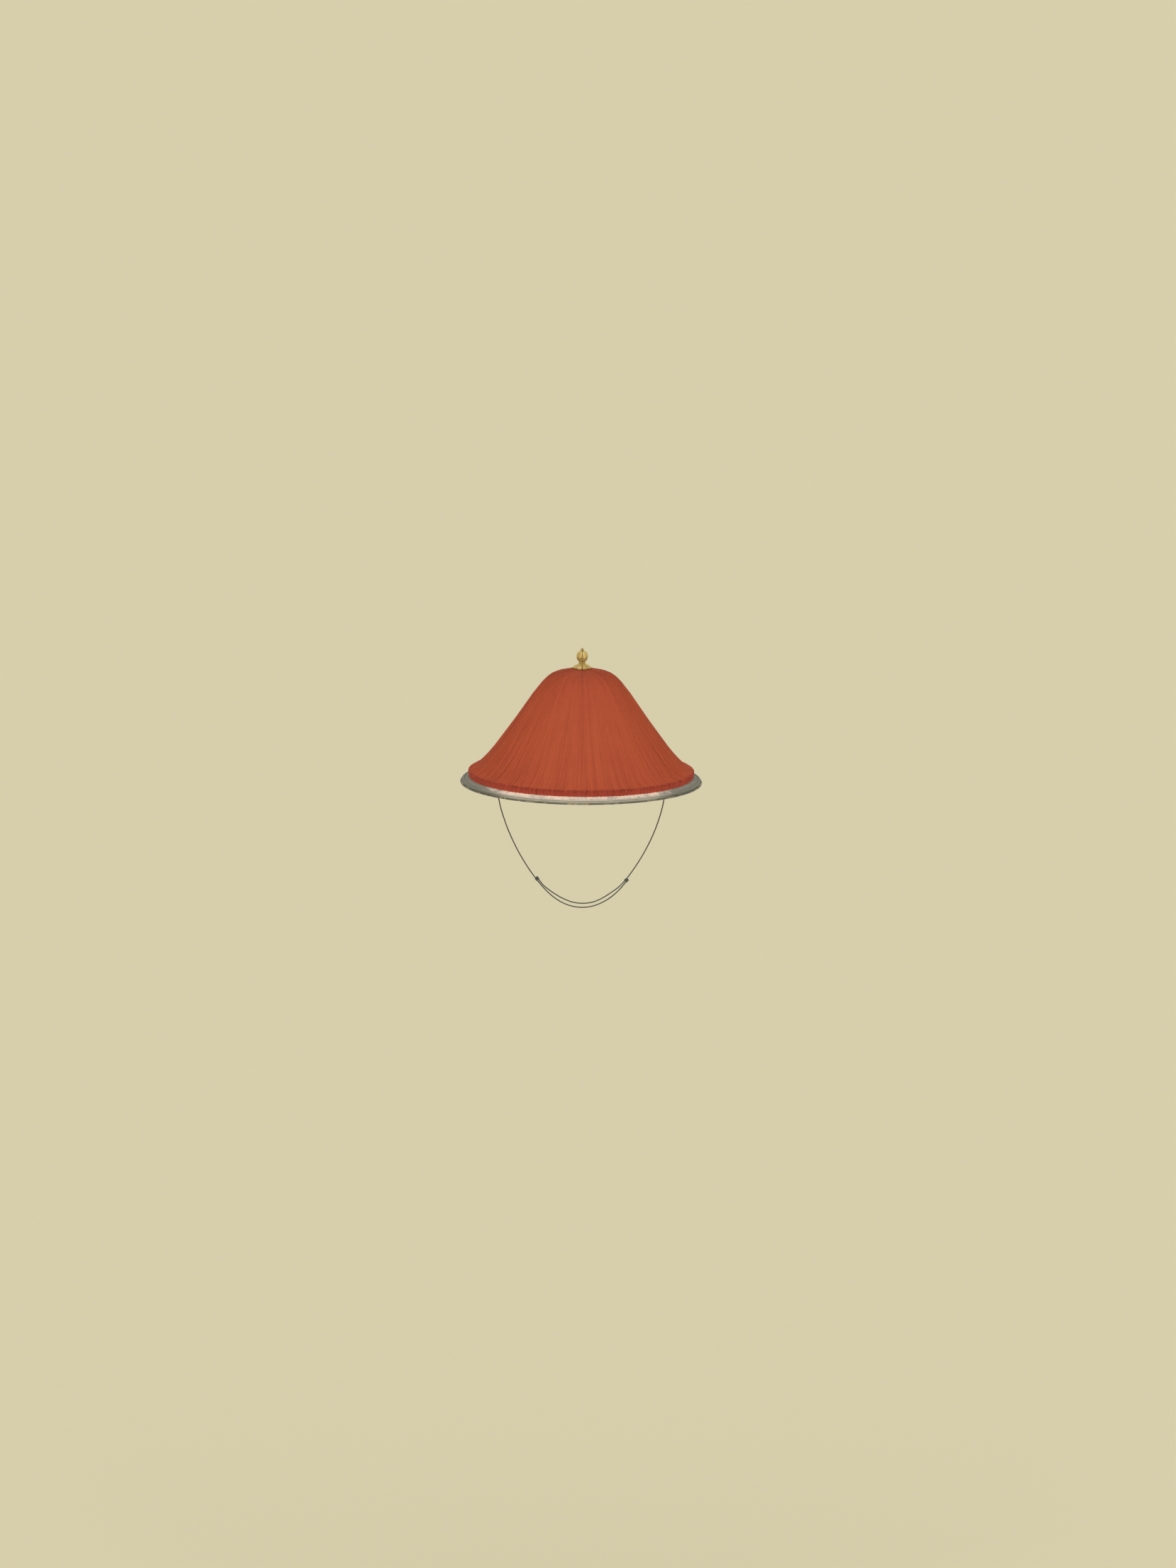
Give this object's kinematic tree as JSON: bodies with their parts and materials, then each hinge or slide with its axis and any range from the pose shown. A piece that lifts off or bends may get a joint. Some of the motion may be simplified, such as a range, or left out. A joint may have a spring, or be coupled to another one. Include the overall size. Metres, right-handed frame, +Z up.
{
  "type": "summer court hat",
  "caption": "Bell-shaped summer hat of woven straw under a red silk fringe, with a gilt finial on top and a chin strap of cords tied round each other.",
  "frame": {"origin": "centre of the head band's lower edge, where the hat sits on a head, level with the middle of the cord along the brim's edge", "axes": "+Z up along the hat's axis to the finial, -Y towards the front, +X to the right as seen from the front"},
  "size_m": [0.3, 0.3, 0.3282],
  "materials": {
    "straw": "woven straw under pale gauze",
    "silk_fringe": "combed red silk floss, softly shining",
    "ribbon": "pale grey ribbon",
    "edge_silk": "dark blue-grey cord flecked with gold",
    "gilt": "gilt and chased, dark in its grooves",
    "band_cloth": "plain dark red cloth",
    "strap_silk": "twisted dark grey-blue silk cord"
  },
  "bodies": {
    "root": {"hat_body": "straw", "fringe": "silk_fringe", "brim_binding": "ribbon", "edge_cord": "edge_silk", "finial_base": "gilt", "finial_collar": "gilt", "finial_ball": "gilt", "finial_tip": "gilt", "finial_post": "gilt", "head_band": "band_cloth", "strap_loop_left": "band_cloth", "strap_loop_right": "band_cloth", "strap_cord_left": "strap_silk", "strap_cord_right": "strap_silk", "strap_knot_left": "strap_silk", "strap_knot_right": "strap_silk"}
  },
  "joints": []
}
